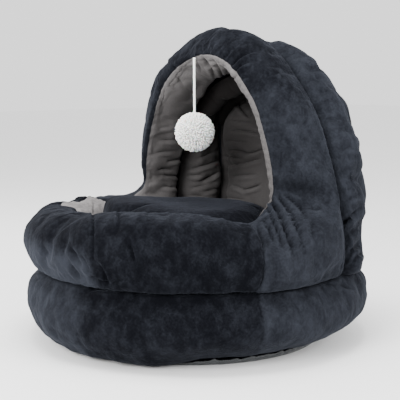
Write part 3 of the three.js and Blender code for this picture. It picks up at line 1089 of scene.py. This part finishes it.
FRONT_ARCH_FOLDS = [
    Fold(283, 72, 283, 90, 3.0, 2.2, 1),
    Fold(271, 80, 270, 96, 1.0, 2.4, -1),
    Fold(311, 116, 302, 126, 1.4, 2.0, 0),
    Fold(288, 124, 278, 133, 1.2, 2.2, 0),
    Fold(313, 217, 314, 240, 2.6, 2.6, 1),
    Fold(311, 208, 322, 208, 3.0, 2.2, 1),
    Fold(166, 162, 181, 159, 4.8, 1.5, 0),
    Fold(157, 170, 172, 170, 4.0, 1.5, -1),
    Fold(163, 175, 183, 177, 4.4, 1.5, 0),
    Fold(157, 152, 174, 151, 3.0, 1.6, 0),
    Fold(159, 140, 181, 140, 3.2, 1.7, 0),
    Fold(160, 186, 178, 188, 3.4, 1.6, 0),
    Fold(157, 128, 172, 126, 2.0, 1.8, 0),
    Fold(176, 74, 184, 86, 2.6, 1.8, 0),
]
CROWN_LINING_FOLDS = [
    Fold(202, 56, 215, 78, 3.8, 1.6, -2),
    Fold(210, 56, 224, 79, 3.8, 1.6, -2),
    Fold(223, 62, 229, 80, 3.4, 1.6, -1),
    Fold(235, 68, 237, 80, 2.6, 1.4, 0),
    Fold(196, 58, 202, 72, 2.4, 1.5, 0),
    Fold(216, 58, 226, 74, 2.0, 1.2, -1),
]
FRONT_ARCH_SWELLS = [
    Swell(190, 34, 22, -1),
    Swell(160, 66, 20, 3),
    Swell(152, 84, 22, 4),
    Swell(172, 40, 16, -3),
]
FRONT_ARCH_PULLS = [Pull(133, 186, 17, 7, 9), Pull(117, 194, 15, 0, 6)]
CREASE_DEPTH = 34
CREASE_FREE = 125
CREASE_WIDTH = 11
OUTER_CREASE = 5
OUTER_CREASE_WIDTH = 5


def draw_in_seam(piece, gap, inside, outside):
    """Draws both sides in where two rolls are sewn together, so that each stands out round."""
    places, outward = spots(piece), facing(piece)
    middle = np.column_stack([0 * gap, places[:, 1], 0 * gap + ARCH_MIDDLE])
    inward = middle - places
    inward /= np.linalg.norm(inward, axis=1)[:, None]
    turned = (outward * inward).sum(axis=1)
    lined = inside * ease(turned, -0.1, 0.5) * np.exp(-((gap / CREASE_WIDTH) ** 2))
    bare = outside * ease(-turned, -0.1, 0.5) * np.exp(-((gap / OUTER_CREASE_WIDTH) ** 2))
    drawn = (bare - lined) * ease(places[:, 2], ROLL_FOOT, CREASE_FREE)
    put(piece, places + inward * drawn[:, None])


def mouth_reach(root):
    """How far the lining turns out over the lip of the opening, by place: wider high up on the
    right, narrower high up on the left, and well over the left foot, where it meets the bolster."""
    across, along, above = root.T
    on_right = 4 * np.tanh(across / 60) * ease(above, 185, 260) - 1.5 * (1 - ease(above, 185, 230))
    on_left = -1 - 6 * np.tanh(-across / 60) * ease(above, 195, 245)
    on_left += 24 * (1 - ease(along, -20, 25)) * (1 - ease(above, 206, 224))
    return np.where(across > 0, on_right, on_left)


front_arch = soft_copy("front_arch", "front_arch_lining")
places = spots(front_arch)
end_angle = math.radians(BOLSTER_END)
bolster_away = np.abs(places[:, 1] * math.sin(end_angle) + np.abs(places[:, 0]) * math.cos(end_angle))
fill(
    front_arch,
    off_pad(places)
    * ease(ARCH_SEAM - places[:, 1], 1, 16)
    * ease(bolster_away, 2, 20)
    * off_lining(front_arch, places),
    slack=2, growth=0.06, most=8,
)
finer(front_arch)
swell(front_arch, FRONT_ARCH_SWELLS)
pull(front_arch, FRONT_ARCH_PULLS)
draw_in_seam(front_arch, ARCH_SEAM - spots(front_arch)[:, 1], CREASE_DEPTH, OUTER_CREASE)
uneven(front_arch, size=60, depth=2.0, seed=6)
press_folds(front_arch, FRONT_ARCH_ROOTED, rooted=True)
press_folds(front_arch, FRONT_ARCH_ROOTED, rooted=True, mirrored=True)
press_folds(front_arch, FRONT_ARCH_FOLDS)
press_folds(front_arch, FRONT_ARCH_FOLDS, mirrored=True)
press_folds(front_arch, CROWN_LINING_FOLDS)
edge = seam_points(front_arch)
mouth = edge[(edge[:, 1] < ARCH_SEAM - 12) & (edge[:, 2] > ROLL_FOOT + 3)]
shift_edge(front_arch, mouth_reach, mouth)
pucker(front_arch, seam_points(front_arch), pitch=13, reach=9, depth=1.4, seed=7)
left_foot = mouth[(mouth[:, 0] < 0) & (mouth[:, 1] < 20) & (mouth[:, 2] < 215)]
pucker(front_arch, left_foot, pitch=5, reach=24, depth=3.0, seed=14)
places = rest_on(front_arch, ROLL_FOOT, rear=ARCH_SEAM - SEWN_GAP)
front_arch_lining = cut_lining(front_arch, "front_arch_lining_sheet")
mouth_away, _ = nearest_on(mouth, spots(front_arch_lining))
across, along, above = spots(front_arch_lining).T
# Inside the hood the lining is painted darker than the bolster's, as painted shade. Along the lip of
# the opening, widest at the crown, and at the front of the left foot it gets painted light; low down
# its left side gets painted light and its right side painted shade.
high = ease(above, 330, 380)
painted_light_lip = (0.05 + 0.14 * high) * (1 - ease(mouth_away, 4 + 20 * high, 34 + 22 * high))
painted_light_lip += 0.35 * (1 - ease(along, -30, 10)) * np.where(across < 0, 1, 0)
column_light_and_shade = 0.25 + 0.09 * (1 - ease(above, 190, 240)) * np.where(across < 0, 1, -1)
paint_lining(front_arch_lining, column_light_and_shade + painted_light_lip)
# The velour is painted darker towards the crown.
paint_nap_and_shade(front_arch, 0.47 - 0.30 * ease(places[:, 2], 325, 390))
declare_roll(front_arch, "front_arch")
declare_lining(front_arch_lining, "front_arch_lining")

# Back arch
# The second filled roll of the hood, sewn to the first along a deep crease. Low on the right its
# cloth is gathered into slanting tucks.
BACK_ARCH_FOLDS = [
    Fold(335, 228, 364, 206, 7.5, 2.5, 1),
    Fold(338, 241, 360, 226, 3.0, 2.6, 1),
    Fold(344, 260, 364, 238, 4.2, 2.5, 0),
    Fold(348, 267, 364, 250, 3.6, 2.4, 0),
    Fold(336, 262, 350, 262, 2.4, 2.2, 0),
    Fold(346, 200, 364, 194, 2.4, 2.4, 0),
    Fold(318, 66, 306, 70, 2.0, 2.6, 0),
    Fold(353, 132, 340, 128, 2.0, 2.6, 0),
    Fold(330, 88, 318, 96, 1.6, 2.6, 0),
    Fold(360, 180, 344, 176, 2.2, 2.6, 0),
    Fold(358, 156, 346, 158, 1.6, 2.6, 0),
    Fold(186, 170, 219, 160, 6.5, 1.6, 1),
    Fold(187, 175, 203, 175, 4.4, 1.5, 0),
    Fold(200, 181, 219, 171, 6.0, 1.6, 1),
    Fold(190, 188, 208, 184, 4.8, 1.5, 0),
    Fold(188, 195, 204, 196, 4.4, 1.5, 0),
    Fold(203, 192, 219, 188, 4.2, 1.5, 0),
    Fold(194, 160, 214, 152, 3.6, 1.5, 0),
]
BACK_ARCH_SWELLS = [
    Swell(306, 62, 30, 5),
    Swell(336, 100, 26, 3),
    Swell(358, 144, 20, 5),
    Swell(356, 266, 10, 5),
]
BACK_ARCH_PULLS = [
    Pull(368, 238, 24, -8, 0),
    Pull(362, 148, 22, 3, 0),
]
BACK_CREASE_DEPTH = 12
SHOULDER_MIDDLE = 230
SHOULDER_PUSH = 40
SHOULDER_ANGLE = 52
SHOULDER_SPREAD = 28


def square_shoulders(piece):
    """Widens the hollow of the hood behind the crown, where its two upper corners are full."""
    places = spots(piece)
    across, above = places[:, 0], places[:, 2] - SHOULDER_MIDDLE
    reach = np.maximum(np.hypot(across, above), 1)
    angle = np.degrees(np.arctan2(np.abs(across), above))
    push = SHOULDER_PUSH * np.exp(-(((angle - SHOULDER_ANGLE) / SHOULDER_SPREAD) ** 2))
    push *= ease(reach, 0, 100) * (1 - ease(reach, 115, 190))
    along = places[:, 1]
    push *= ease(along, ARCH_SEAM, 150) * (1 - ease(along, WALL_SEAM + 6, WALL_SEAM + 40))
    places[:, 0] += push * across / reach
    places[:, 2] += push * above / reach
    put(piece, places)


back_arch = soft_copy("back_arch", "back_arch_lining")
square_shoulders(back_arch)
places = spots(back_arch)
fill(
    back_arch,
    off_pad(places)
    * ease(places[:, 1] - ARCH_SEAM, 1, 14)
    * ease(WALL_SEAM - places[:, 1], 1, 14),
    slack=1, growth=0.08, most=10,
)
finer(back_arch)
swell(back_arch, BACK_ARCH_SWELLS)
pull(back_arch, BACK_ARCH_PULLS)
draw_in_seam(back_arch, spots(back_arch)[:, 1] - ARCH_SEAM, CREASE_DEPTH, OUTER_CREASE)
draw_in_seam(back_arch, WALL_SEAM - spots(back_arch)[:, 1], BACK_CREASE_DEPTH, OUTER_CREASE)
uneven(back_arch, size=52, depth=2.2, seed=8)
press_folds(back_arch, BACK_ARCH_FOLDS)
press_folds(back_arch, BACK_ARCH_FOLDS, mirrored=True)
places = spots(back_arch)
sewn = np.minimum(places[:, 1] - ARCH_SEAM, WALL_SEAM - places[:, 1]) < 1
pucker(back_arch, places[sewn], pitch=15, reach=12, depth=1.6, seed=9)
places = rest_on(back_arch, ROLL_FOOT, ARCH_SEAM + SEWN_GAP, WALL_SEAM - SEWN_GAP)
back_arch_lining = cut_lining(back_arch, "back_arch_lining_sheet")
# Inside the hood the lining is painted darker than the bolster's, and darker still upwards to near
# black, as painted shade in the top of the hood. The velour is painted darker low down.
paint_lining(back_arch_lining, 0.24 * (1 - ease(spots(back_arch_lining)[:, 2], 215, 290)))
paint_nap_and_shade(back_arch, 0.50 - 0.12 * (1 - ease(places[:, 2], 180, 240)))
declare_roll(back_arch, "back_arch")
declare_lining(back_arch_lining, "back_arch_lining")

# Back wall
# A filled pillow of velour that closes the hood, sewn to the back arch round its edge. Its lined
# front stands out round from that seam, with deep folds across it.
WALL_FOLDS = [
    Fold(230, 130, 264, 134, 6.5, 1.7, -1),
    Fold(229, 150, 250, 154, 6.5, 1.6, -1),
    Fold(245, 154, 267, 147, 7.5, 1.7, 1),
    Fold(222, 155, 243, 158, 4.4, 1.5, 0),
    Fold(228, 165, 243, 163, 4.8, 1.6, 0),
    Fold(240, 164, 264, 158, 4.0, 1.7, 0),
    Fold(232, 185, 244, 190, 4.6, 1.6, -1),
    Fold(241, 190, 262, 184, 5.4, 1.6, 1),
    Fold(236, 102, 250, 118, 6.5, 1.8, 1),
    Fold(226, 140, 248, 142, 3.6, 1.7, 0),
    Fold(230, 120, 254, 122, 3.2, 1.8, 0),
    Fold(232, 176, 258, 174, 3.2, 1.7, 0),
    Fold(226, 197, 246, 200, 3.2, 1.7, 0),
]
WALL_PULLS = [Pull(366, 236, 22, -6, 0)]
WALL_CREASE = 14
WALL_CROWN = 9
WALL_TURN_IN = 18


def closer_points(piece):
    """Halves the lined faces of a piece, so that they can take sharp creases."""
    form = bmesh.new()
    form.from_mesh(piece.data)
    sides = {edge for face in form.faces if face.material_index == LINED for edge in face.edges}
    bmesh.ops.subdivide_edges(form, edges=list(sides), cuts=1, use_grid_fill=True)
    bmesh.ops.triangulate(form, faces=[face for face in form.faces if len(face.verts) > 4])
    form.to_mesh(piece.data)
    form.free()
    smooth_shaded(piece)


back_wall = soft_copy("back_wall", "wall_lining")
square_shoulders(back_wall)
places = spots(back_wall)
fill(back_wall, off_pad(places) * ease(np.abs(places[:, 1] - WALL_SEAM), 1, 10))
finer(back_wall)
places = spots(back_wall)
seam_away, _ = nearest_on(seam_points(back_wall), places)
front_side = ease(-facing(back_wall)[:, 1], 0.0, 0.3) * ease(places[:, 2], ROLL_FOOT, CREASE_FREE)
places[:, 1] += WALL_CREASE * front_side * np.exp(-((seam_away / CREASE_WIDTH) ** 2))
places[:, 1] -= WALL_CROWN * front_side * ease(seam_away, 4, 32)
put(back_wall, places)
shift_edge(back_wall, lambda root: np.full(len(root), WALL_TURN_IN), seam_points(back_wall))
closer_points(back_wall)
uneven(back_wall, size=62, depth=3.6, seed=10)
pull(back_wall, WALL_PULLS)
press_folds(back_wall, WALL_FOLDS)
press_folds(back_wall, BOLSTER_FOLDS + PAD_FOLDS, turn=180)
places = spots(back_wall)
sewn = np.abs(places[:, 1] - WALL_SEAM) < 1
pucker(back_wall, places[sewn], pitch=16, reach=14, depth=1.8, seed=11)
places = rest_on(back_wall, ROLL_FOOT)
wall_lining = cut_lining(back_wall, "wall_lining_sheet")
# The lining is painted darker than the bolster's, and darker upwards, as painted shade inside the
# hood.
paint_lining(wall_lining, 0.22 - 0.13 * ease(spots(wall_lining)[:, 2], 180, 270))
paint_nap_and_shade(back_wall, np.full(len(places), 0.5))
declare_roll(back_wall, "back_wall")
declare_lining(wall_lining, "wall_lining")

# Seat cushion
# A loose round cushion of the same velour, soft and low, that fills the floor of the bed. It lies
# on the pad and is sewn to nothing.
CUSHION_FREE = 122
CUSHION_SWELLS = [
    Swell(120, 206, 20, 13),
    Swell(146, 203, 18, 5),
]
CUSHION_PULLS = [Pull(117, 201, 15, -12, -3)]
seat_cushion = soft_copy("seat_cushion")
places = spots(seat_cushion)
fill(seat_cushion, ease(places[:, 2], ROLL_FOOT + 1, CUSHION_FREE), slack=5, growth=0.04, most=6)
finer(seat_cushion)
swell(seat_cushion, CUSHION_SWELLS)
pull(seat_cushion, CUSHION_PULLS)
uneven(seat_cushion, size=66, depth=2.6, seed=12)
places = rest_on(seat_cushion, ROLL_FOOT)
seat_cushion.data.materials.append(velour)
paint_nap_and_shade(seat_cushion, np.zeros(len(places)), crease_shade=0)
declare_padded(seat_cushion, "seat_cushion")

# Floor cloth
# Dark, slightly shiny woven cloth that does not slip. It is sewn on under the pad, and on the
# right, where the pad's side curves in, its edge comes into view, drawn into small puckers.
CLOTH_ANGLES = 420
CLOTH_RINGS = (4, 30, 60, 90, 120, 146, 162, 174, 181, 184.5, 186, 187.3, 188.4, 189.3)
CLOTH_RISE = {186: 1.2, 187.3: 3.0, 188.4: 5.0, 189.3: 7.2}
CLOTH_FLAT = 184.5
CLOTH_UNDERSIDE = 0.1
CLOTH_THICKNESS = 1.1
CLOTH_SHOWN = (40, 62)
CLOTH_HIDDEN_IN = 4
PUCKER_PITCH = 8
PUCKER_REACH = 3.0
CLOTH_COLOUR = (0.046, 0.050, 0.053)
CLOTH_SHADE = 0.6
CLOTH_LIGHT = 1.5
THREAD_SCALE = 260


def floor_cloth_piece():
    vertices, faces = [], []
    for ring in CLOTH_RINGS:
        for step in range(CLOTH_ANGLES):
            angle = 2 * math.pi * step / CLOTH_ANGLES
            away = Vector((math.sin(angle), -math.cos(angle), 0))
            off = abs((math.degrees(angle) - CLOTH_SIDE + 180) % 360 - 180)
            shown = 1 - float(ease(np.array(off), *CLOTH_SHOWN))
            drawn = noise.noise(away * ring / PUCKER_PITCH + Vector((3, 7, ring / 25)))
            rim = max(0, ring - CLOTH_FLAT) / (CLOTH_RINGS[-1] - CLOTH_FLAT)
            reach = ring + (PUCKER_REACH * drawn - 1.0) * rim * shown
            reach -= CLOTH_HIDDEN_IN * rim * (1 - shown)
            rise = CLOTH_RISE.get(ring, 0) * shown * (1 + 0.5 * drawn)
            vertices.append((away * reach + Vector((0, 0, CLOTH_UNDERSIDE + rise))) * MM)
    for k in range(len(CLOTH_RINGS) - 1):
        for step in range(CLOTH_ANGLES):
            ahead = (step + 1) % CLOTH_ANGLES
            first, second = k * CLOTH_ANGLES, (k + 1) * CLOTH_ANGLES
            faces.append((first + step, second + step, second + ahead, first + ahead))
    faces.append(tuple(range(CLOTH_ANGLES)))
    return new_piece("floor_cloth_sheet", vertices, faces)


def woven_material(name):
    """A plain weave of slightly shiny threads."""
    material = new_material(name, {
        "Base Color": (*CLOTH_COLOUR, 1), "Roughness": 0.42, "Sheen Weight": 0.1,
    })
    tree = material.node_tree
    place = add_node(tree, "ShaderNodeTexCoord").outputs["Object"]
    weave = tree.nodes.new("ShaderNodeMath")
    weave.operation = "MULTIPLY"
    for i, direction in enumerate(("X", "Y")):
        values = {"Scale": THREAD_SCALE, "Distortion": 0.6, "Detail": 1}
        wave = add_node(tree, "ShaderNodeTexWave", values, {"Vector": place})
        wave.bands_direction = direction
        connect(tree, weave, links={i: wave.outputs["Fac"]})
    shade, light = ([share * part for part in CLOTH_COLOUR] for share in (CLOTH_SHADE, CLOTH_LIGHT))
    give_colour(material, weave.outputs["Value"], shade, light)
    give_relief(material, weave.outputs["Value"], 0.5, 0.4)
    return material


floor_cloth = floor_cloth_piece()
wall = floor_cloth.modifiers.new("thickness", "SOLIDIFY")
wall.thickness = CLOTH_THICKNESS * MM
wall.offset = 1
apply_modifiers(floor_cloth)
smooth_shaded(floor_cloth)
floor_cloth.data.materials.append(woven_material("floor_cloth"))
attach(floor_cloth, "root")
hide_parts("floor_cloth")
